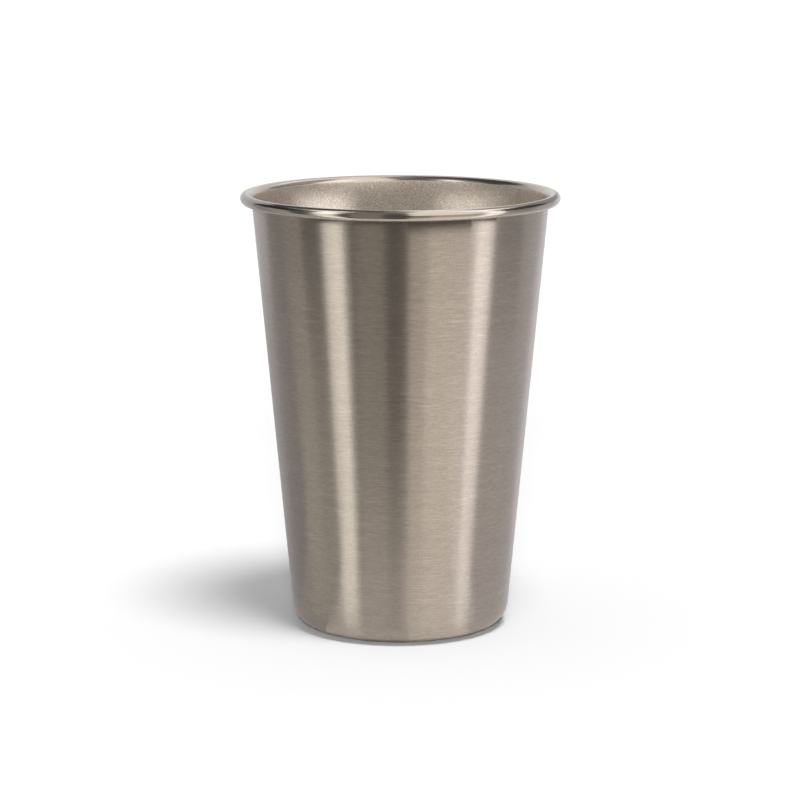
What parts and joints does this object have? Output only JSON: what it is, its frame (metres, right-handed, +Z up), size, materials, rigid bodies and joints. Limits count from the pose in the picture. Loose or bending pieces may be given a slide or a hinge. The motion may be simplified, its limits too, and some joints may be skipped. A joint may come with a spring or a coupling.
{
  "type": "julep cup",
  "caption": "Plain tapered single-wall steel drinking cup with a rolled rim, rounded base corner and pressed-up base panel.",
  "frame": {"origin": "centre of the standing ring, on the surface that the cup stands on", "axes": "+Z up along the cup's axis, towards the mouth; the cup is round, so X and Y are free"},
  "size_m": [0.089, 0.089, 0.1225],
  "materials": {
    "brushed_wall": "brushed round the outside, matt and finely grained inside",
    "polished_rim": "polished bright",
    "satin_base": "brushed corner, satin underside"
  },
  "bodies": {
    "root": {"cup_wall": "brushed_wall", "rolled_rim": "polished_rim", "base_dish": "satin_base"}
  },
  "joints": []
}
